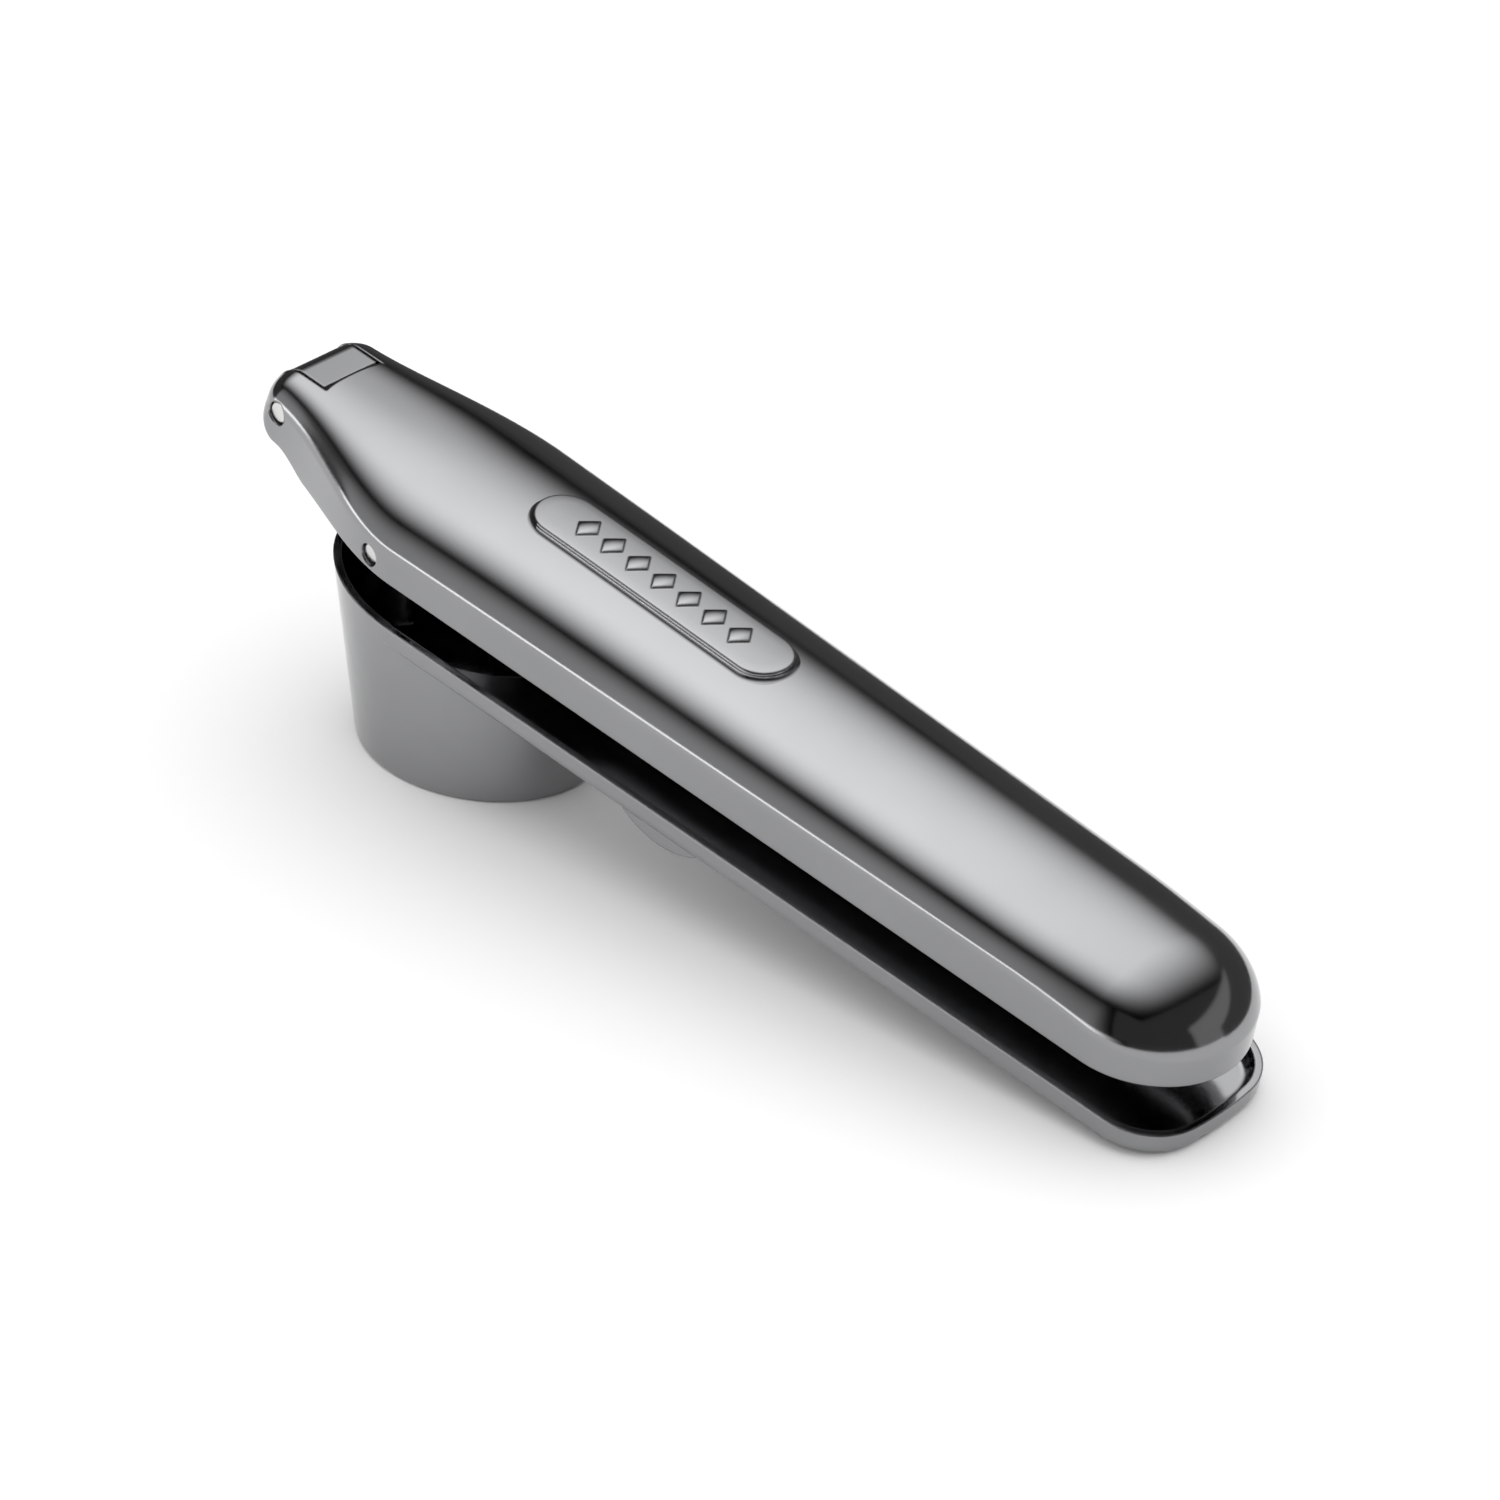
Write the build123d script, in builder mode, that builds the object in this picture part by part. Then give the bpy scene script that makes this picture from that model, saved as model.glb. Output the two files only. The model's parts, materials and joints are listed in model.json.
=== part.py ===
from build123d import *
from math import cos, radians, sin, tan
import os

# A hand press for garlic: a cup on the lower lever, a plunger under the upper lever, and a hinge behind the cup.
# All lengths are in millimetres. The cup stands upright on the floor with its axis on Z. +X runs from the hinge
# to the tips of the levers and the pins lie along Y. The levers slope down to the floor at their tips, so most
# shapes are drawn in lever coordinates: x along the lever from the cup's axis, z up from the cup's rim.

# ---- driving dimensions ----
lever_slope = 9.42          # degrees the levers fall towards their tips
tip_x = 129.75              # lower lever's tip, measured along the lever
rim_half = 16.3             # half-width of both levers beside the cup
side_taper = 1.575          # degrees that each side closes in towards the tip
wall = 2.0                  # cast wall thickness
rim_wall = 1.0              # thinner along the rim of the lower lever and its cup

tray_height = 3.4           # height of the lower lever's side wall
tray_depth = 2.0            # depth of the channel in it
tray_edge = 1.5             # rounding along its lower edge
channel_round = 1.4         # hollow corner along the channel's floor
tip_bow = 1.6               # how far the lower lever's end bows out between its corners
tip_corner = 8.5            # radius of those corners, seen from above

cup_long = 20.4             # half-length of the cup's oval at the rim
cup_draw = 1.8              # how far that closes in at the base
cup_side_draw = 1.4         # the same across the cup
base_edge = 0.8             # rounding around the base
sieve_hole = 1.1            # radius of the holes in the cup's floor
sieve_pitch = 3.6
sieve_margin = 1.3          # metal left between the outer holes and the wall

skirt_bottom = 6.86         # upper lever's lower edge above the rim, at the cup's axis
skirt_drop = 0.009          # and how much it closes in per millimetre along the lever
skirt_top = 12.1            # where its flat sides turn into the arched crown
skirt_rise = 2.6            # how much higher that is beside the hinge
crown_fall = 0.018          # how much the crown comes down per millimetre towards the tip
crown_level = 15.0          # it is level from the hinge to here
upper_tip_x = 129.0
narrow_length = 33.0        # behind the cup's axis its sides draw in over this length
narrowing = 8.05            # by this much on each side
curved_to = 10.0            # its sides run straight from here to the tip
curve_sections = 7          # sections that shape the part behind that
cavity_start = -21.5        # hollow from here to the tip

hinge_x = -29.7
hinge_z = 13.9
boss_radius = 5.0           # rounded end of the upper lever, about the hinge pin
knuckle_half = 4.7
knuckle_top = 4.6           # height of the knuckle's flat top above the pin
knuckle_back = 3.6          # its reach behind the pin
knuckle_front = 3.8         # and in front of it
knuckle_corner = 3.2        # rounding between its top and its back
arm_root = 3.5              # how far down the cup's wall the arm is joined
arm_front = (-22.2, 4.0)    # bends in the arm's front and back edges, in lever coordinates
arm_back = (-31.2, 4.5)
slot_half = 5.1             # half-width of the slot for the knuckle
slot_radius = 6.5           # its rounded end, about the hinge axis
hinge_pin_radius = 1.6
hinge_pin_half = 8.9
running_gap = 0.05          # radial clearance of pins in their holes

plunger_pin_x = -4.2
plunger_pin_z = 9.2
plunger_pin_radius = 1.55
plunger_pin_half = 15.4
piston_long = 14.9
piston_side = 12.0
piston_x = 0.6
piston_bottom = 3.0         # above the floor the cup stands on
piston_height = 5.0
piston_edge = 0.8           # rounding around its top
stem_foot = 9.0             # half-length of the stem where it meets the piston
stem_half = 4.0             # and half of its thickness
lug_radius = 3.8

badge_x = 32.1
badge_length = 43.4
badge_width = 8.8
badge_raise = 0.55
badge_edge = 0.35
mark_count = 7              # plain lozenges along the badge
mark_pitch = 4.6
mark_size = 1.9
mark_raise = 0.25

swell_x = 48.6              # rounded swell under the lower lever
swell_radius = 12.0
swell_dip = 1.7             # how far it stands below the lever
swell_root = 1.0            # and how far it is sunk into the channel's floor
swell_half = 14.4

pin_chamfer = 0.25
clearance_height = 30.0     # tall enough for any cut to clear the levers
overlap = 1.0               # extra length for bodies that are joined or cut

# ---- derived places ----
crown_top = hinge_z + boss_radius + 0.1
fall = sin(radians(lever_slope))
along = cos(radians(lever_slope))
cup_height = (tip_x - tray_edge) * fall + (tray_height - tray_edge) * along + tray_edge

lever_plane = Plane(origin=(0, 0, cup_height), x_dir=(along, 0, -fall), z_dir=(fall, 0, along))
side_plane = Plane(origin=(0, 0, cup_height), x_dir=(along, 0, -fall), z_dir=(0, -1, 0))


def straight_half(x):
    """Half-width of the levers' straight, tapering sides."""
    return rim_half - tan(radians(side_taper)) * x


def narrow_share(x):
    """0 along the straight sides, rising smoothly to 1 at the hinge."""
    step = min(max(-x / narrow_length, 0), 1)
    return step * step * (3 - 2 * step)


def upper_half(x):
    """Half-width of the upper lever."""
    return straight_half(x) - narrowing * narrow_share(x)


def side_top(x):
    """Height of the flat sides' upper edge."""
    return skirt_top + skirt_rise * narrow_share(x)


def crown_rise(x):
    """How far the crown stands above the flat sides."""
    return crown_top - crown_fall * max(x - crown_level, 0) - side_top(x)


def skirt_edge(x):
    """Height of the upper lever's lower edge above the rim plane."""
    return skirt_bottom - skirt_drop * x


def to_world(x, z):
    """World X and Z of a place in lever coordinates."""
    return x * along + z * fall, cup_height - x * fall + z * along


def cross_plane(x):
    """A plane across the lever: its own x is Y and its own y is up from the rim."""
    return Plane(origin=lever_plane.from_local_coords((x, 0, 0)), x_dir=(0, 1, 0), z_dir=lever_plane.x_dir)


def arch(x, inset, drop):
    """A section of the upper lever at x: flat sides under an elliptical crown."""
    half = upper_half(x) - inset
    bottom = skirt_edge(x) - drop
    with BuildSketch(cross_plane(x)) as section:
        with BuildLine():
            Line((-half, bottom), (half, bottom))
            Line((half, bottom), (half, side_top(x)))
            EllipticalCenterArc((0, side_top(x)), half, crown_rise(x) - inset, start_angle=0, arc_size=180)
            Line((-half, side_top(x)), (-half, bottom))
        make_face()
    return section.sketch


def tray_outline(inset):
    """The lower lever seen from above, moved in by inset: a taper with a squarish, slightly bowed tip."""
    start = straight_half(0) - inset
    end_x = tip_x - tip_bow
    end = straight_half(end_x) - inset
    with BuildSketch(lever_plane) as outline:
        with BuildLine():
            Line((0, -start), (end_x - inset, -end))
            ThreePointArc((end_x - inset, -end), (tip_x - inset, 0), (end_x - inset, end))
            Line((end_x - inset, end), (0, start))
            Line((0, start), (0, -start))
        make_face()
        fillet(outline.vertices().filter_by(lambda corner: corner.X > tip_x / 2), tip_corner - inset)
    return outline.sketch


# ---- lower lever: channel, cup, hinge arm and knuckle ----
cup_top = cup_height + cup_long * fall + overlap
cup_growth = cup_top / cup_height

with BuildPart() as lower_lever:
    # channel, drawn from the rim down
    extrude(tray_outline(0), amount=-tray_height)
    tray_under = lower_lever.faces().sort_by(Axis(lever_plane.origin, lever_plane.z_dir))[0]
    fillet(tray_under.edges().filter_by(lambda edge: edge.center().X > 1), tray_edge)

    # cup, drawn past the rim and cut back to it
    with BuildPart(mode=Mode.PRIVATE) as cup:
        with BuildSketch(Plane.XY):
            Ellipse(cup_long - cup_draw, rim_half - cup_side_draw)
        with BuildSketch(Plane.XY.offset(cup_top)):
            Ellipse(
                cup_long - cup_draw + cup_draw * cup_growth,
                rim_half - cup_side_draw + cup_side_draw * cup_growth,
            )
        loft()
        fillet(cup.faces().sort_by(Axis.Z)[0].edges(), base_edge)
        split(bisect_by=lever_plane, keep=Keep.BOTTOM)
    add(cup.part)

    # arm behind the cup, up to the knuckle with its flat top
    with BuildSketch(side_plane) as arm:
        with BuildLine():
            Polyline(
                (rim_wall - cup_long, 0),
                arm_front,
                (hinge_x + boss_radius, hinge_z),
                (hinge_x + knuckle_front, hinge_z + knuckle_top),
                (hinge_x - knuckle_back, hinge_z + knuckle_top),
                (hinge_x - knuckle_back, hinge_z),
                arm_back,
                (-cup_long, -arm_root),
                (rim_wall - cup_long, -arm_root),
                close=True,
            )
        make_face()
        back_corner = arm.vertices().group_by(Axis.Y)[-1].sort_by(Axis.X)[0]
        fillet(back_corner, knuckle_corner)
    extrude(amount=knuckle_half, both=True)

    # swell under the channel
    with BuildSketch(side_plane):
        with Locations((swell_x, -tray_height - swell_dip + swell_radius)):
            Circle(swell_radius)
        with Locations((swell_x, -tray_height + swell_root + swell_radius)):
            Rectangle(4 * swell_radius, 2 * swell_radius, mode=Mode.SUBTRACT)
    extrude(amount=swell_half, both=True)

    # hollow of the channel
    with BuildPart(mode=Mode.PRIVATE) as channel:
        extrude(tray_outline(rim_wall), amount=-tray_depth)
        channel_floor = channel.faces().sort_by(Axis(lever_plane.origin, lever_plane.z_dir))[0]
        fillet(channel_floor.edges().filter_by(lambda edge: edge.center().X > 1), channel_round)
    add(channel.part, mode=Mode.SUBTRACT)

    # hollow of the cup
    with BuildPart(mode=Mode.PRIVATE) as cup_hollow:
        with BuildSketch(Plane.XY.offset(wall)):
            Ellipse(cup_long - cup_draw - wall, rim_half - cup_side_draw - wall)
        with BuildSketch(Plane.XY.offset(cup_top)):
            Ellipse(
                cup_long - cup_draw - rim_wall + cup_draw * cup_growth,
                rim_half - cup_side_draw - rim_wall + cup_side_draw * cup_growth,
            )
        loft()
    add(cup_hollow.part, mode=Mode.SUBTRACT)

    # sieve holes: every place of a staggered grid that keeps clear of the cup's wall
    sieve_long = cup_long - cup_draw - wall - sieve_margin - sieve_hole
    sieve_side = rim_half - cup_side_draw - wall - sieve_margin - sieve_hole
    row_pitch = sieve_pitch * sin(radians(60))
    sieve_spots = []
    for row in range(-4, 5):
        for column in range(-5, 6):
            spot_x = (column + 0.5 * ((row + 1) % 2)) * sieve_pitch
            spot_y = row * row_pitch
            if (spot_x / sieve_long) ** 2 + (spot_y / sieve_side) ** 2 <= 1:
                sieve_spots.append((spot_x, spot_y))
    with BuildSketch(Plane.XY):
        with Locations(*sieve_spots):
            Circle(sieve_hole)
    extrude(amount=2 * wall, mode=Mode.SUBTRACT)

    # hinge hole
    with BuildSketch(side_plane):
        with Locations((hinge_x, hinge_z)):
            Circle(hinge_pin_radius + running_gap)
    extrude(amount=2 * knuckle_half, both=True, mode=Mode.SUBTRACT)
lower_lever.part.label = "lower_lever"

# ---- upper lever: arched shell, ears, slot and badge ----
tip_centre = (upper_tip_x - rim_half) / (1 - tan(radians(side_taper)))


def lever_shell(inset, start, drop):
    """Outer or inner body of the upper lever from x = start to its rounded tip."""
    radius = straight_half(tip_centre) - inset
    bottom = skirt_edge(tip_centre) - drop
    rise = crown_rise(tip_centre) - inset
    with BuildPart() as shell:
        step = (curved_to - start) / curve_sections
        loft([arch(start + step * index, inset, drop) for index in range(curve_sections + 1)])
        for begin, end in ((curved_to, crown_level), (crown_level, tip_centre)):
            loft([arch(begin, inset, drop), arch(end, inset, drop)], ruled=True)
        with BuildSketch(side_plane):
            with BuildLine():
                Line((tip_centre, bottom), (tip_centre + radius, bottom))
                Line((tip_centre + radius, bottom), (tip_centre + radius, skirt_top))
                EllipticalCenterArc((tip_centre, skirt_top), radius, rise, start_angle=0, arc_size=90)
                Line((tip_centre, skirt_top + rise), (tip_centre, bottom))
            make_face()
        revolve(axis=Axis(lever_plane.from_local_coords((tip_centre, 0, 0)), lever_plane.z_dir))
    return shell.part


badge_plane = Plane(
    origin=lever_plane.from_local_coords((badge_x, 0, side_top(badge_x) + crown_rise(badge_x))),
    x_dir=lever_plane.x_dir - lever_plane.z_dir * crown_fall,
    z_dir=lever_plane.z_dir + lever_plane.x_dir * crown_fall,
)

with BuildPart() as upper_lever:
    add(lever_shell(0, hinge_x - boss_radius - overlap, 0))
    add(lever_shell(wall, cavity_start, overlap), mode=Mode.SUBTRACT)

    # rounded hinge end, seen from the side
    with BuildSketch(side_plane):
        with Locations((hinge_x - boss_radius, hinge_z)):
            Rectangle(4 * boss_radius, clearance_height)
        with BuildLine():
            Polyline(
                (hinge_x, hinge_z + boss_radius),
                (hinge_x + 2 * boss_radius, crown_top + overlap),
                (hinge_x + 2 * boss_radius, skirt_edge(hinge_x + 2 * boss_radius) - overlap / 2),
                (hinge_x, hinge_z - boss_radius),
                close=True,
            )
        make_face(mode=Mode.SUBTRACT)
        with Locations((hinge_x, hinge_z)):
            Circle(boss_radius, mode=Mode.SUBTRACT)
    extrude(amount=2 * rim_half, both=True, mode=Mode.SUBTRACT)

    # slot for the knuckle and its arm
    with BuildSketch(side_plane):
        with Locations((hinge_x, hinge_z)):
            Circle(slot_radius)
            with Locations((-boss_radius, 0)):
                Rectangle(2 * boss_radius, clearance_height)
            slot_length = 2 * (cavity_start - hinge_x) + overlap
            Rectangle(slot_length, clearance_height, align=(Align.CENTER, Align.MAX))
    extrude(amount=slot_half, both=True, mode=Mode.SUBTRACT)

    # badge with plain marks
    with BuildSketch(badge_plane.offset(-wall / 2)):
        SlotOverall(badge_length, badge_width)
    extrude(amount=wall / 2 + badge_raise)
    badge_face = upper_lever.faces().sort_by(Axis(badge_plane.origin, badge_plane.z_dir))[-1]
    fillet(badge_face.edges(), badge_edge)
    with BuildSketch(badge_plane):
        with GridLocations(mark_pitch, 0, mark_count, 1):
            RegularPolygon(mark_size, 4)
    extrude(amount=badge_raise + mark_raise)

    # pin holes
    with BuildSketch(side_plane):
        with Locations((hinge_x, hinge_z)):
            Circle(hinge_pin_radius + running_gap)
        with Locations((plunger_pin_x, plunger_pin_z)):
            Circle(plunger_pin_radius + running_gap)
    extrude(amount=2 * rim_half, both=True, mode=Mode.SUBTRACT)
upper_lever.part.label = "upper_lever"

# ---- plunger ----
pin_x, pin_height = to_world(plunger_pin_x, plunger_pin_z)
front_plane = Plane(origin=(0, 0, 0), x_dir=(1, 0, 0), z_dir=(0, -1, 0))

with BuildPart() as plunger:
    with BuildSketch(Plane.XY.offset(piston_bottom)):
        with Locations((piston_x, 0)):
            Ellipse(piston_long, piston_side)
    extrude(amount=piston_height)
    fillet(plunger.faces().sort_by(Axis.Z)[-1].edges(), piston_edge)
    with BuildSketch(front_plane):
        with BuildLine():
            Polyline(
                (pin_x - lug_radius, pin_height),
                (pin_x + lug_radius, pin_height),
                (piston_x + stem_foot, piston_bottom + piston_height - overlap),
                (piston_x - stem_foot, piston_bottom + piston_height - overlap),
                close=True,
            )
        make_face()
        with Locations((pin_x, pin_height)):
            Circle(lug_radius)
    extrude(amount=stem_half, both=True)
    with BuildSketch(front_plane):
        with Locations((pin_x, pin_height)):
            Circle(plunger_pin_radius + running_gap)
    extrude(amount=2 * stem_half, both=True, mode=Mode.SUBTRACT)
plunger.part.label = "plunger"


# ---- pins ----
def cross_pin(x, z, radius, half):
    """A plain pin along Y with chamfered ends."""
    with BuildPart() as pin:
        with BuildSketch(side_plane):
            with Locations((x, z)):
                Circle(radius)
        extrude(amount=half, both=True)
        chamfer(pin.faces().filter_by(Axis.Y).edges(), pin_chamfer)
    return pin


hinge_pin = cross_pin(hinge_x, hinge_z, hinge_pin_radius, hinge_pin_half)
hinge_pin.part.label = "hinge_pin"
plunger_pin = cross_pin(plunger_pin_x, plunger_pin_z, plunger_pin_radius, plunger_pin_half)
plunger_pin.part.label = "plunger_pin"

# ---- files ----
os.makedirs("parts", exist_ok=True)
export_step(lower_lever.part, "parts/lower_lever.step")
export_step(upper_lever.part, "parts/upper_lever.step")
export_step(plunger.part, "parts/plunger.step")
export_step(hinge_pin.part, "parts/hinge_pin.step")
export_step(plunger_pin.part, "parts/plunger_pin.step")
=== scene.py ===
import json
import math

import bmesh
import bpy
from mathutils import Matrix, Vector


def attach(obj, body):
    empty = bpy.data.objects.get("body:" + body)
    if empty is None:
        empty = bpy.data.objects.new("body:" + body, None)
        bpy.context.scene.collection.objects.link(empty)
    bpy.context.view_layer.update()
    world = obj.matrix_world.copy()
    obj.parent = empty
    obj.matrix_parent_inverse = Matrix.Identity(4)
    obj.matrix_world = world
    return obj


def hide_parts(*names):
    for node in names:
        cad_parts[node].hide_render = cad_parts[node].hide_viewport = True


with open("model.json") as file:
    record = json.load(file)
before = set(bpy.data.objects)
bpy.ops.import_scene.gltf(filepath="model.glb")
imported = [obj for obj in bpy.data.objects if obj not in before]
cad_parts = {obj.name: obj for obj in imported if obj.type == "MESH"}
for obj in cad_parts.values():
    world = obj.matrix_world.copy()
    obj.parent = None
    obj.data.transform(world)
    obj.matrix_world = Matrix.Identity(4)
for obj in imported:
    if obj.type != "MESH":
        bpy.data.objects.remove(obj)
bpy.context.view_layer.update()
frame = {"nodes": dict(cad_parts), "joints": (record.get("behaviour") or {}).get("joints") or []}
joints = {joint["name"]: joint for joint in frame["joints"]}

# The levers slope down to the floor, so their shapes are given in lever coordinates, in millimetres:
# x along the lever from the cup's axis, y across it, z up from the cup's rim.
mm = 0.001
leverSlope = math.radians(9.42)
rimHeight = 24.365
hingePlace = Vector(joints["lever_hinge"]["pos_m"]) / mm
plungerPlace = Vector(joints["plunger_swing"]["pos_m"]) / mm


def toWorld(x, y, z):
    along = x * math.cos(leverSlope) + z * math.sin(leverSlope)
    up = z * math.cos(leverSlope) - x * math.sin(leverSlope) + rimHeight
    return Vector((along, y, up)) * mm


def toLever(place):
    # x and z in lever coordinates of a place in the frame, in millimetres
    up = place.z - rimHeight
    return (
        place.x * math.cos(leverSlope) - up * math.sin(leverSlope),
        place.x * math.sin(leverSlope) + up * math.cos(leverSlope),
    )


hingeX, hingeZ = toLever(hingePlace)
plungerX, plungerZ = toLever(plungerPlace)
print("frame loaded")


# metals; edge is how much their edges are softened in the shading, in millimetres
metals = {
    "blackChrome": {"colour": (0.29, 0.293, 0.298), "roughness": (0.10, 0.17), "grain": 0.12, "edge": 0.4},
    "plungerChrome": {"colour": (0.20, 0.20, 0.205), "roughness": (0.14, 0.24), "grain": 0.15, "edge": 0.4},
    "turnedSteel": {"colour": (0.66, 0.66, 0.65), "roughness": (0.22, 0.34), "grain": 0.2, "edge": 0.2},
}
plating = {
    "cloudScale": 38,
    "cloudTint": 0.1,         # how far the clouds lighten and darken the colour
    "grainScale": 2600,
    "grainDepth": 0.02,
}


def newMaterial(name, colour, metallic, roughness):
    material = bpy.data.materials.new(name)
    material.use_nodes = True
    shader = material.node_tree.nodes["Principled BSDF"]
    shader.inputs["Base Color"].default_value = (*colour, 1)
    shader.inputs["Metallic"].default_value = metallic
    shader.inputs["Roughness"].default_value = roughness
    return material, shader


def addNode(tree, kind, **inputs):
    # words joined by an underscore name a socket with a space
    node = tree.nodes.new(kind)
    for key, value in inputs.items():
        node.inputs[key.replace("_", " ")].default_value = value
    return node


def platedMetal(name, colour, roughness, grain, edge):
    # plating with cloudy roughness, a faint cast ripple and softened edges
    material, shader = newMaterial(name, colour, 1, roughness[0])
    tree = material.node_tree
    links = tree.links
    place = addNode(tree, "ShaderNodeTexCoord")
    clouds = addNode(tree, "ShaderNodeTexNoise", Scale=plating["cloudScale"], Detail=5, Roughness=0.6)
    low, high = roughness
    gloss = addNode(tree, "ShaderNodeMapRange", From_Min=0.3, From_Max=0.7, To_Min=low, To_Max=high)
    change = plating["cloudTint"]
    tint = addNode(tree, "ShaderNodeMapRange", To_Min=1 - change, To_Max=1 + change)
    shade = addNode(tree, "ShaderNodeVectorMath")
    shade.operation = "SCALE"
    shade.inputs[0].default_value = colour
    speckle = addNode(tree, "ShaderNodeTexNoise", Scale=plating["grainScale"], Detail=3, Roughness=0.7)
    relief = addNode(tree, "ShaderNodeBump", Strength=grain, Distance=plating["grainDepth"] * mm)
    rounding = addNode(tree, "ShaderNodeBevel", Radius=edge * mm)
    rounding.samples = 6
    links.new(place.outputs["Object"], clouds.inputs["Vector"])
    links.new(place.outputs["Object"], speckle.inputs["Vector"])
    links.new(clouds.outputs["Fac"], gloss.inputs["Value"])
    links.new(gloss.outputs["Result"], shader.inputs["Roughness"])
    links.new(clouds.outputs["Fac"], tint.inputs["Value"])
    links.new(tint.outputs["Result"], shade.inputs["Scale"])
    links.new(shade.outputs["Vector"], shader.inputs["Base Color"])
    links.new(speckle.outputs["Fac"], relief.inputs["Height"])
    links.new(rounding.outputs["Normal"], relief.inputs["Normal"])
    links.new(relief.outputs["Normal"], shader.inputs["Normal"])
    return material


materials = {name: platedMetal(name, **values) for name, values in metals.items()}
print("materials made")


# points closer than this are joined
weldGap = 0.002 * mm


def addPiece(name, shape):
    mesh = bpy.data.meshes.new(name)
    shape.to_mesh(mesh)
    shape.free()
    piece = bpy.data.objects.new(name, mesh)
    bpy.context.scene.collection.objects.link(piece)
    return piece


def cleanMesh(shape, gap):
    bmesh.ops.remove_doubles(shape, verts=shape.verts, dist=gap)
    bmesh.ops.dissolve_degenerate(shape, edges=shape.edges, dist=weldGap)
    bmesh.ops.recalc_face_normals(shape, faces=shape.faces)


def gridObject(name, rows):
    # rows of points in lever millimetres, joined into quads; points that meet are welded
    shape = bmesh.new()
    verts = [[shape.verts.new(toWorld(*point)) for point in row] for row in rows]
    for here, there in zip(verts, verts[1:]):
        for index in range(len(here) - 1):
            shape.faces.new((here[index], here[index + 1], there[index + 1], there[index]))
    cleanMesh(shape, weldGap)
    return addPiece(name, shape)


def prism(name, outline, half):
    # a side-view outline in lever millimetres, given a thickness across the lever
    shape = bmesh.new()
    near = [shape.verts.new(toWorld(x, -half, z)) for x, z in outline]
    far = [shape.verts.new(toWorld(x, half, z)) for x, z in outline]
    shape.faces.new(near)
    shape.faces.new(list(reversed(far)))
    for index in range(len(outline)):
        follow = (index + 1) % len(outline)
        shape.faces.new((near[index], far[index], far[follow], near[follow]))
    bmesh.ops.recalc_face_normals(shape, faces=shape.faces)
    return addPiece(name, shape)


def circleOutline(x, z, radius, count=48):
    turns = [2 * math.pi * index / count for index in range(count)]
    return [(x + radius * math.cos(turn), z + radius * math.sin(turn)) for turn in turns]


def closeHoles(piece):
    shape = bmesh.new()
    shape.from_mesh(piece.data)
    rim = [edge for edge in shape.edges if edge.is_boundary]
    bmesh.ops.contextual_create(shape, geom=rim)
    bmesh.ops.recalc_face_normals(shape, faces=shape.faces)
    shape.to_mesh(piece.data)
    shape.free()


def mergeObjects(name, pieces):
    shape = bmesh.new()
    for piece in pieces:
        shape.from_mesh(piece.data)
        bpy.data.objects.remove(piece)
    cleanMesh(shape, 2 * weldGap)
    openEdges = [edge for edge in shape.edges if not edge.is_manifold]
    print(name, "open edges", len(openEdges))
    return addPiece(name, shape)


def cut(piece, tool):
    # takes the tool's shape out of the piece and removes the tool
    modifier = piece.modifiers.new("cut", "BOOLEAN")
    modifier.operation = "DIFFERENCE"
    modifier.solver = "EXACT"
    modifier.object = tool
    bpy.context.view_layer.update()
    graph = bpy.context.evaluated_depsgraph_get()
    mesh = bpy.data.meshes.new_from_object(piece.evaluated_get(graph))
    piece.modifiers.clear()
    piece.data = mesh
    bpy.data.objects.remove(tool)


def smoothShade(piece, sharpAngle):
    piece.data.shade_smooth()
    piece.data.set_sharp_from_angle(angle=math.radians(sharpAngle))


def smoothStep(value):
    value = min(max(value, 0), 1)
    return value * value * (3 - 2 * value)


def spread(start, end, count):
    return [start + (end - start) * index / count for index in range(1, count + 1)]


# upper lever; sizes in millimetres, angles in degrees
upper = {
    "rimHalf": 16.3,
    "sideTaper": 1.575,
    "skirtBottom": 6.86,
    "skirtDrop": 0.009,
    "skirtTop": 12.1,
    "skirtRise": 2.6,         # how much higher the flat sides go beside the hinge
    "crownTop": 19.0,
    "crownFall": 0.018,       # how much the crown comes down along the lever
    "crownLevel": 15.0,       # it is level from the hinge to here
    "crownEase": 6.0,         # length over which the fall begins
    "hingeDip": 0.1,          # the crown comes down to the hinge's round by this much
    "hingeDipFrom": -10.0,
    "hingeDipLength": 18.0,
    "crownPower": 2.0,        # 2 is an ellipse, more is squarer
    "hingeSquarer": 0.9,
    "tipX": 129.0,
    "tipCrease": 2.0,         # how much lower the crown reaches round the tip
    "tipCreaseFrom": 104.0,
    "narrowLength": 33.0,
    "narrowing": 8.05,
    "bossRadius": 5.0,
    "bossFrom": -22.0,        # the lower edge starts down to the boss here
    "wall": 2.0,
    "cavityStart": -21.5,
    "cavityFlatter": 1.6,     # how much less the cavity's crown rises than the lever's
    "cavityDrop": 1.0,
    "cavityEdge": 0.1,
    "creaseTurn": 80,         # how far the crown's arch turns; less makes a sharper crease
    "creaseGap": 0.2,
    "leastRise": 1.0,
    "sideLine": 9.0,          # a row of points along the sides, which climbs to the hinge pin
    "sideLineFrom": -20.0,
    "sideLineLength": 15.0,
    "slotHalf": 5.1,
    "slotRadius": 6.5,
    "slotTurns": (62, 10),    # where its rounded end starts and stops
    "slotReach": 12.0,
    "slotSteps": 24,
    "edgeRadius": 0.45,
    "hingeHole": 1.65,
    "plungerHole": 1.6,
    "boreHalf": 20.0,         # the holes are bored to this far either side
    "roundFrom": 0.42,        # share of the hinge's round where the crown turns into a plain edge
    "archSteps": 26,
    "flatSteps": 4,
    "tipSteps": 48,
    "hingeSteps": 40,
    "fineStep": 0.8,
    "fineTo": 8.0,
    "coarseStep": 4.0,
    "sharpAngle": 32,
}


def straightHalf(x):
    return upper["rimHalf"] - math.tan(math.radians(upper["sideTaper"])) * x


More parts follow.
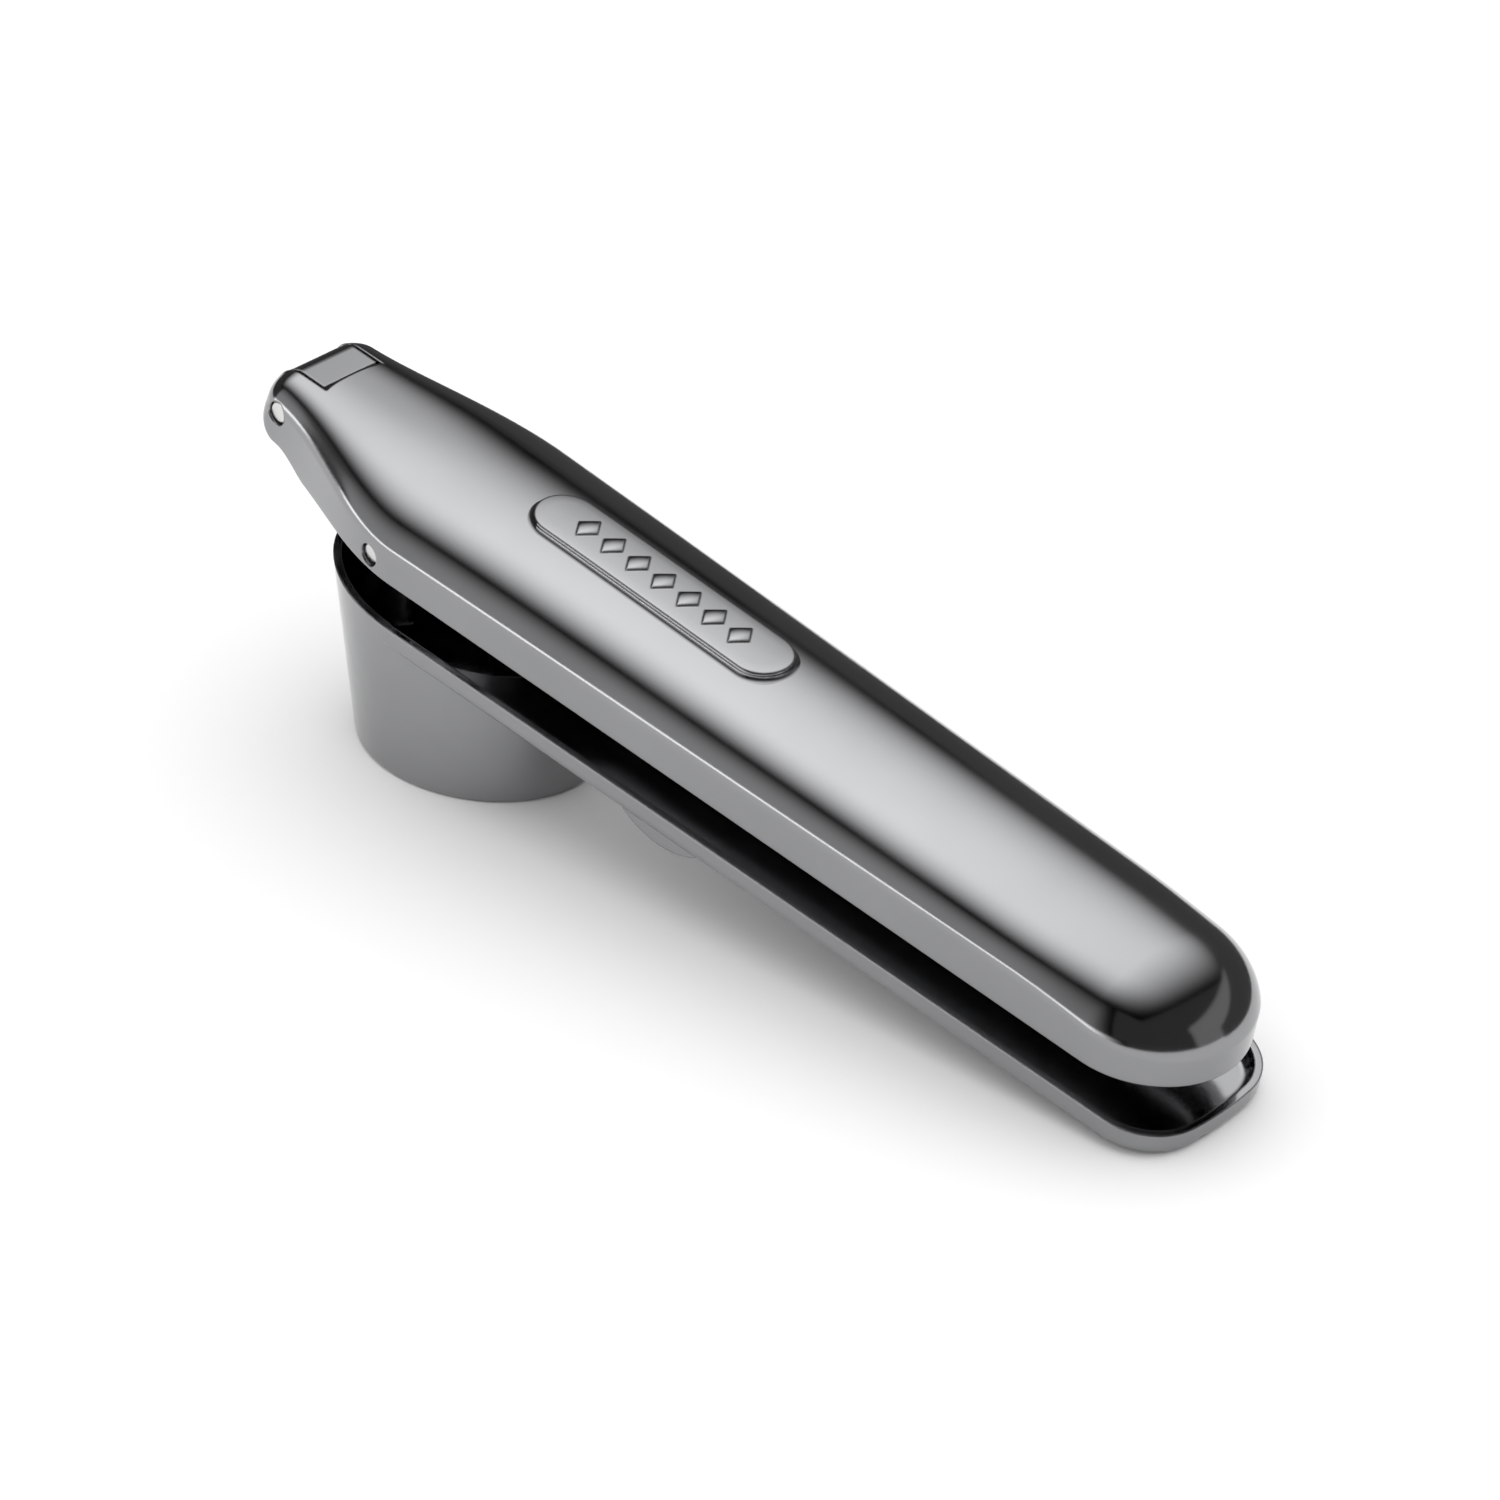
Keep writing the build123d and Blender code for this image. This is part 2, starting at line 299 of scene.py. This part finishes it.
def narrowShare(x):
    return smoothStep(-x / upper["narrowLength"])


def upperHalf(x):
    return straightHalf(x) - upper["narrowing"] * narrowShare(x)


def skirtBottom(x):
    boss = smoothStep((x - upper["bossFrom"]) / (hingeX - upper["bossFrom"]))
    plain = upper["skirtBottom"] - upper["skirtDrop"] * x
    return plain + boss * (hingeZ - upper["bossRadius"] - plain)


def crownTop(x):
    dip = upper["hingeDip"] * smoothStep((upper["hingeDipFrom"] - x) / upper["hingeDipLength"])
    beyond = max(x - upper["crownLevel"], 0)
    return upper["crownTop"] - dip - upper["crownFall"] * beyond * beyond / (beyond + upper["crownEase"])


def crownRise(x):
    # height of the crown above the flat sides
    tipShare = smoothStep((x - upper["tipCreaseFrom"]) / (upper["tipX"] - upper["tipCreaseFrom"]))
    sideTop = upper["skirtTop"] + upper["skirtRise"] * narrowShare(x) - upper["tipCrease"] * tipShare
    return crownTop(x) - sideTop


def crownPower(x):
    return upper["crownPower"] + upper["hingeSquarer"] * narrowShare(x)


def archSize(half, rise, power):
    # half-axes of the whole arch that reaches half and rise at the crease
    lastTurn = math.radians(upper["creaseTurn"])
    reach = half / math.sin(lastTurn) ** (2 / power)
    depth = rise / (1 - math.cos(lastTurn) ** (2 / power))
    return reach, depth


def crownArch(half, rise, power):
    # across and down from the ridge to the flat side, which it meets in a soft crease
    reach, depth = archSize(half, rise, power)
    points = []
    for index in range(upper["archSteps"]):
        turn = math.radians(upper["creaseTurn"]) * index / upper["archSteps"]
        across = reach * math.sin(turn) ** (2 / power)
        down = depth * (1 - math.cos(turn) ** (2 / power))
        points.append((across, down))
    points.append((half, rise))
    return points


def crownHeight(x, y):
    power = crownPower(x)
    reach, depth = archSize(upperHalf(x), crownRise(x), power)
    return crownTop(x) - depth * (1 - (1 - (abs(y) / reach) ** power) ** (1 / power))


def edgeArch(half, radius):
    # the same number of points, flat and then turning a small corner
    corner = upper["archSteps"] // 2
    flat = upper["archSteps"] - corner
    points = [((half - radius) * index / flat, 0) for index in range(flat)]
    for index in range(corner + 1):
        turn = math.pi / 2 * index / corner
        points.append((half - radius + radius * math.sin(turn), radius * (1 - math.cos(turn))))
    return points


def leverSection(half, top, bottom, rise, power, level, edge):
    # across and height: crown, flat side down past level, lower edge, and in to the middle
    points = [(across, top - down) for across, down in crownArch(half, rise, power)]
    points += [(half, z) for z in spread(top - rise, level, upper["flatSteps"])]
    points += [(half, z) for z in spread(level, bottom + edge, upper["flatSteps"])]
    points += [(across, bottom + down) for across, down in reversed(edgeArch(half, edge))][1:]
    return points


def tipCentreX():
    # centre of the tip's round, where it meets the tapering sides
    return (upper["tipX"] - upper["rimHalf"]) / (1 - math.tan(math.radians(upper["sideTaper"])))


def leverRows(stations, inset, flatter, drop, edge):
    # one row for each place along the near side, round the tip and back along the far side
    tipCentre = tipCentreX()

    def sectionAt(x, sideX):
        top = crownTop(x) - inset
        rise = max(crownTop(x) - crownTop(sideX) + crownRise(sideX) - flatter, upper["leastRise"])
        climb = smoothStep((x - upper["sideLineFrom"]) / upper["sideLineLength"])
        level = hingeZ - (hingeZ - upper["sideLine"]) * climb
        level = min(level, top - rise - upper["creaseGap"])
        half = upperHalf(x) - inset
        return leverSection(half, top, skirtBottom(sideX) - drop, rise, crownPower(x), level, edge)

    near = [[(x, -across, z) for across, z in sectionAt(x, x)] for x in stations]
    far = [[(x, across, z) for across, z in sectionAt(x, x)] for x in reversed(stations)]
    tip = []
    for index in range(upper["tipSteps"] + 1):
        turn = math.pi * index / upper["tipSteps"] - math.pi / 2
        ahead = math.cos(turn)
        aside = math.sin(turn)
        section = sectionAt(tipCentre, tipCentre + straightHalf(tipCentre) * ahead)
        tip.append([(tipCentre + across * ahead, across * aside, z) for across, z in section])
    return near + tip + far


def alongStations(start):
    # close together where the sides curve, wider apart along the straight
    places = []
    x = start
    while x < upper["fineTo"]:
        places.append(x)
        x += upper["fineStep"]
    while x < tipCentreX() - 1:
        places.append(x)
        x += upper["coarseStep"]
    return places


def hingeSection(share):
    # across and in from the surface, from the crown's shape at the top to a plain edge underneath
    half = upperHalf(hingeX)
    blend = smoothStep((share - upper["roundFrom"]) / (1 - upper["roundFrom"]))
    crown = crownArch(half, crownRise(hingeX), crownPower(hingeX))
    plain = edgeArch(half, upper["edgeRadius"])
    section = []
    for (crownAcross, crownDown), (plainAcross, plainDown) in zip(crown, plain):
        across = crownAcross + (plainAcross - crownAcross) * blend
        section.append((across, crownDown + (plainDown - crownDown) * blend))
    section += [(half, down) for down in spread(section[-1][1], upper["bossRadius"], upper["flatSteps"])]
    return section


def hingeRows(side):
    # the rounded hinge end: sections fanned about the pin's axis, from the top round the back to underneath
    radius = upper["bossRadius"]
    rows = []
    for index in range(upper["hingeSteps"] + 1):
        share = index / upper["hingeSteps"]
        turn = math.pi / 2 + math.pi * share
        row = []
        for across, down in hingeSection(share):
            x = hingeX + (radius - down) * math.cos(turn)
            z = hingeZ + (radius - down) * math.sin(turn)
            row.append((x, side * across, z))
        rows.append(row)
    return rows


def slotOutline():
    # open at the back and top, rounded in front of the knuckle, then down past the arm
    reach = upper["slotRadius"]
    first, last = upper["slotTurns"]
    back = hingeX - upper["slotReach"]
    top = hingeZ + upper["slotReach"]
    front = upper["cavityStart"] + 1
    points = [(back, top), (hingeX + reach * math.cos(math.radians(first)), top)]
    for turn in spread(first, last, upper["slotSteps"]):
        turn = math.radians(turn)
        points.append((hingeX + reach * math.cos(turn), hingeZ + reach * math.sin(turn)))
    points.append((front, points[-1][1]))
    points.append((front, 0))
    points.append((back, 0))
    return points


def buildUpperLever():
    body = gridObject("leverBody", leverRows(alongStations(hingeX), 0, 0, 0, upper["edgeRadius"]))
    ends = [gridObject("leverEnd", hingeRows(side)) for side in (-1, 1)]
    lever = mergeObjects("upperLeverShell", [body] + ends)
    stations = alongStations(upper["cavityStart"])
    flatter = upper["cavityFlatter"]
    inside = leverRows(stations, upper["wall"], flatter, upper["cavityDrop"], upper["cavityEdge"])
    hollow = gridObject("hollow", inside)
    closeHoles(hollow)
    boreHalf = upper["boreHalf"]
    cut(lever, hollow)
    cut(lever, prism("slot", slotOutline(), upper["slotHalf"]))
    cut(lever, prism("hingeHole", circleOutline(hingeX, hingeZ, upper["hingeHole"]), boreHalf))
    cut(lever, prism("plungerHole", circleOutline(plungerX, plungerZ, upper["plungerHole"]), boreHalf))
    smoothShade(lever, upper["sharpAngle"])
    lever.data.materials.clear()
    lever.data.materials.append(materials["blackChrome"])
    return lever


lever = buildUpperLever()
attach(lever, "upper")
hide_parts("upper_lever")
print("upper lever built")


# badge on the crown, in millimetres
badge = {
    "x": 32.1,
    "length": 43.4,
    "width": 8.8,
    "raise": 0.95,
    "crownShare": 0.6,        # how much of the crown's curve its top follows
    "topEdge": 0.35,
    "baseSweep": 1.0,
    "baseSink": 0.04,         # its foot starts just under the crown
    "curveSteps": 8,
    "endSteps": 36,
    "sideSteps": 14,
    "topRings": (0.35, 0.7, 1),
    "markCount": 7,
    "markPitch": 4.5,
    "markLong": 1.7,
    "markWide": 2.3,
    "markRaise": 0.3,
    "markSink": 0.05,
    "sharpAngle": 40,
}


def badgeOutline(grow):
    # two half circles and the straights between them, moved out by grow
    radius = badge["width"] / 2 + grow
    straight = (badge["length"] - badge["width"]) / 2
    points = []
    for end in (1, -1):
        for index in range(badge["endSteps"] + 1):
            turn = math.pi * index / badge["endSteps"] - math.pi / 2
            x = badge["x"] + end * (straight + radius * math.cos(turn))
            points.append((x, end * radius * math.sin(turn)))
        lastX, lastY = points[-1]
        for x in spread(lastX, badge["x"] - end * straight, badge["sideSteps"])[:-1]:
            points.append((x, lastY))
    return points


def badgeHeight(x, y):
    return crownTop(x) + badge["raise"] - badge["crownShare"] * (crownTop(x) - crownHeight(x, y))


def buildBadge():
    rows = []
    steps = badge["curveSteps"]
    turns = [math.pi / 2 * index / steps for index in range(steps + 1)]
    for index, turn in enumerate(turns):
        # hollow sweep up from the crown
        grow = badge["baseSweep"] * (1 - math.sin(turn))
        lift = 0.5 * badge["raise"] * (1 - math.cos(turn)) - badge["baseSink"] * (1 - index / steps)
        rows.append([(x, y, crownHeight(x, y) + lift) for x, y in badgeOutline(grow)])
    edge = badge["topEdge"]
    for turn in turns:
        # rounded top edge
        outline = badgeOutline(edge * (math.cos(turn) - 1))
        rows.append([(x, y, badgeHeight(x, y) - edge * (1 - math.sin(turn))) for x, y in outline])
    for share in badge["topRings"]:
        outline = badgeOutline(-edge - (badge["width"] / 2 - edge) * share)
        rows.append([(x, y, badgeHeight(x, y)) for x, y in outline])
    return gridObject("badgePad", [row + [row[0]] for row in rows])


def buildMark(x):
    # a plain raised lozenge
    corners = []
    for index in range(4):
        turn = math.pi / 2 * index
        corners.append((badge["markLong"] * math.cos(turn), badge["markWide"] * math.sin(turn)))
    raised = badge["markRaise"]
    rows = []
    for scale, lift in ((1, -badge["markSink"]), (0.97, 0.6 * raised), (0.8, raised), (0, raised)):
        row = [(x + dx * scale, dy * scale, badgeHeight(x, dy * scale) + lift) for dx, dy in corners]
        rows.append(row + [row[0]])
    return gridObject("badgeMark", rows)


pieces = [buildBadge()]
for number in range(badge["markCount"]):
    pieces.append(buildMark(badge["x"] + badge["markPitch"] * (number - (badge["markCount"] - 1) / 2)))
badgePiece = mergeObjects("upperLeverBadge", pieces)
smoothShade(badgePiece, badge["sharpAngle"])
badgePiece.data.materials.append(materials["blackChrome"])
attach(badgePiece, "upper")
print("badge built")


# these pieces keep the shapes they have in the frame
for node, material in (
    ("lower_lever", "blackChrome"),
    ("plunger", "plungerChrome"),
    ("hinge_pin", "turnedSteel"),
    ("plunger_pin", "turnedSteel"),
):
    frame["nodes"][node].data.materials.clear()
    frame["nodes"][node].data.materials.append(materials[material])
print("lower lever, plunger and pins finished")


# studio; sizes and places in metres, angles in degrees
studio = {
    "floorSize": 16.0,
    "floorColour": (0.93, 0.93, 0.93),
    "floorRoughness": 0.9,
    "floorGloss": 0.1,
    "floorFill": 3.7,
    "fillSpread": 130,        # a wide sun gives a soft shadow that hugs the press
    "worldGrey": 0.07,
    "backdrop": 0.95,
    "cameraAzimuth": 43.2,
    "cameraElevation": 32.93,
    "cameraDistance": 0.6349,
    "cameraLens": 120,
    "cameraNear": 0.01,
    "lookAt": (0.04927, 0.0007, 0.0192),
}

# Panels light the press and show in its plating. Fades are the shares of each edge over which the light
# comes up: first side, second side, bottom, top.
panels = [
    {
        "name": "overheadBox",
        "corners": [(-1.5, -0.6, 1.0), (0.7, -0.6, 1.0), (0.7, 2.4, 1.0), (-1.5, 2.4, 1.0)],
        "strength": 2.45,
        "fades": (0.6, 0.48, 0.24, 0.8),
        "lightsFloor": False,
    },
    {
        "name": "leftGlow",
        "corners": [(-1.6, -1.0, 0), (0.6, -1.0, 0), (0.6, -1.0, 0.22), (-1.6, -1.0, 0.22)],
        "strength": 3.6,
        "fades": (0, 0.5, 0, 0.5),
        "lightsFloor": True,
    },
    {
        "name": "leftWall",
        "corners": [(-1.8, -1.3, 0), (0.4, -1.3, 0), (0.4, -1.3, 2.6), (-1.8, -1.3, 2.6)],
        "strength": 0.6,
        "fades": (0, 0.4, 0, 0.8),
        "lightsFloor": True,
    },
    {
        "name": "backWall",
        "corners": [(1.7, -0.1, 0), (0.15, 2.4, 0), (0.15, 2.4, 1.1), (1.7, -0.1, 1.1)],
        "strength": 0.36,
        "fades": (0.06, 0, 0, 0.15),
        "lightsFloor": False,
    },
    {
        "name": "farCard",
        "corners": [(-0.3, 0.12, 0), (0.35, 0.12, 0), (0.35, 0.12, 0.075), (-0.3, 0.12, 0.075)],
        "strength": 0.1,
        "fades": (0, 0, 0, 0),
        "lightsFloor": False,
    },
]


def stagePlane(name, corners, material):
    mesh = bpy.data.meshes.new(name)
    mesh.from_pydata(corners, [], [(0, 1, 2, 3)])
    mesh.materials.append(material)
    plane = bpy.data.objects.new(name, mesh)
    bpy.context.scene.collection.objects.link(plane)
    return plane


def addFloor():
    half = studio["floorSize"] / 2
    material, shader = newMaterial("paleFloor", studio["floorColour"], 0, studio["floorRoughness"])
    shader.inputs["Specular IOR Level"].default_value = studio["floorGloss"]
    stagePlane("floor", [(-half, -half, 0), (half, -half, 0), (half, half, 0), (-half, half, 0)], material)


def panelMaterial(name, strength, fades):
    # light that fades towards the panel's edges: its strength is multiplied by each fade
    material = bpy.data.materials.new(name)
    material.use_nodes = True
    tree = material.node_tree
    tree.nodes.clear()
    output = tree.nodes.new("ShaderNodeOutputMaterial")
    glow = addNode(tree, "ShaderNodeEmission", Strength=strength)
    place = addNode(tree, "ShaderNodeTexCoord")
    split = addNode(tree, "ShaderNodeSeparateXYZ")
    tree.links.new(place.outputs["UV"], split.inputs["Vector"])
    tree.links.new(glow.outputs["Emission"], output.inputs["Surface"])
    low, high, bottom, top = fades
    target = glow.inputs["Strength"]
    for axis, start, end in (("X", 0, low), ("X", 1, 1 - high), ("Y", 0, bottom), ("Y", 1, 1 - top)):
        if start == end:
            continue
        ramp = addNode(tree, "ShaderNodeMapRange", From_Min=start, From_Max=end)
        ramp.interpolation_type = "SMOOTHSTEP"
        product = addNode(tree, "ShaderNodeMath")
        product.operation = "MULTIPLY"
        product.inputs[0].default_value = strength
        tree.links.new(split.outputs[axis], ramp.inputs["Value"])
        tree.links.new(ramp.outputs["Result"], product.inputs[1])
        tree.links.new(product.outputs["Value"], target)
        target = product.inputs[0]
    return material


def addPanel(name, corners, strength, fades, lightsFloor):
    # lights and shows in reflections, out of the camera's sight
    panel = stagePlane(name, corners, panelMaterial(name, strength, fades))
    uv = panel.data.uv_layers.new(name="UVMap")
    for loop, place in zip(uv.data, ((0, 0), (1, 0), (1, 1), (0, 1))):
        loop.uv = place
    panel.visible_camera = False
    panel.visible_shadow = False
    panel.visible_diffuse = lightsFloor


def addFill():
    # even light for the floor that leaves no reflection
    light = bpy.data.lights.new("floorFill", "SUN")
    light.angle = math.radians(studio["fillSpread"])
    light.energy = studio["floorFill"]
    lamp = bpy.data.objects.new("floorFill", light)
    lamp.visible_glossy = False
    bpy.context.scene.collection.objects.link(lamp)


def addRoom():
    # a dim room in reflections, with a pale backdrop behind the floor
    world = bpy.data.worlds.new("studio")
    bpy.context.scene.world = world
    world.use_nodes = True
    tree = world.node_tree
    ray = addNode(tree, "ShaderNodeLightPath")
    level = addNode(tree, "ShaderNodeMapRange", To_Min=studio["worldGrey"], To_Max=studio["backdrop"])
    tree.nodes["Background"].inputs["Color"].default_value = (1, 1, 1, 1)
    tree.links.new(ray.outputs["Is Camera Ray"], level.inputs["Value"])
    tree.links.new(level.outputs["Result"], tree.nodes["Background"].inputs["Strength"])


def addCamera():
    azimuth = math.radians(studio["cameraAzimuth"])
    elevation = math.radians(studio["cameraElevation"])
    back = Vector((
        math.sin(azimuth) * math.cos(elevation),
        -math.cos(azimuth) * math.cos(elevation),
        math.sin(elevation),
    ))
    camera = bpy.data.objects.new("camera", bpy.data.cameras.new("camera"))
    camera.data.lens = studio["cameraLens"]
    camera.data.sensor_width = 36
    camera.data.clip_start = studio["cameraNear"]
    camera.location = Vector(studio["lookAt"]) + back * studio["cameraDistance"]
    camera.rotation_euler = (-back).to_track_quat("-Z", "Y").to_euler()
    bpy.context.scene.collection.objects.link(camera)
    bpy.context.scene.camera = camera


addFloor()
addFill()
for panel in panels:
    addPanel(**panel)
addRoom()
addCamera()
bpy.context.scene.view_settings.view_transform = "Standard"
print("studio set")
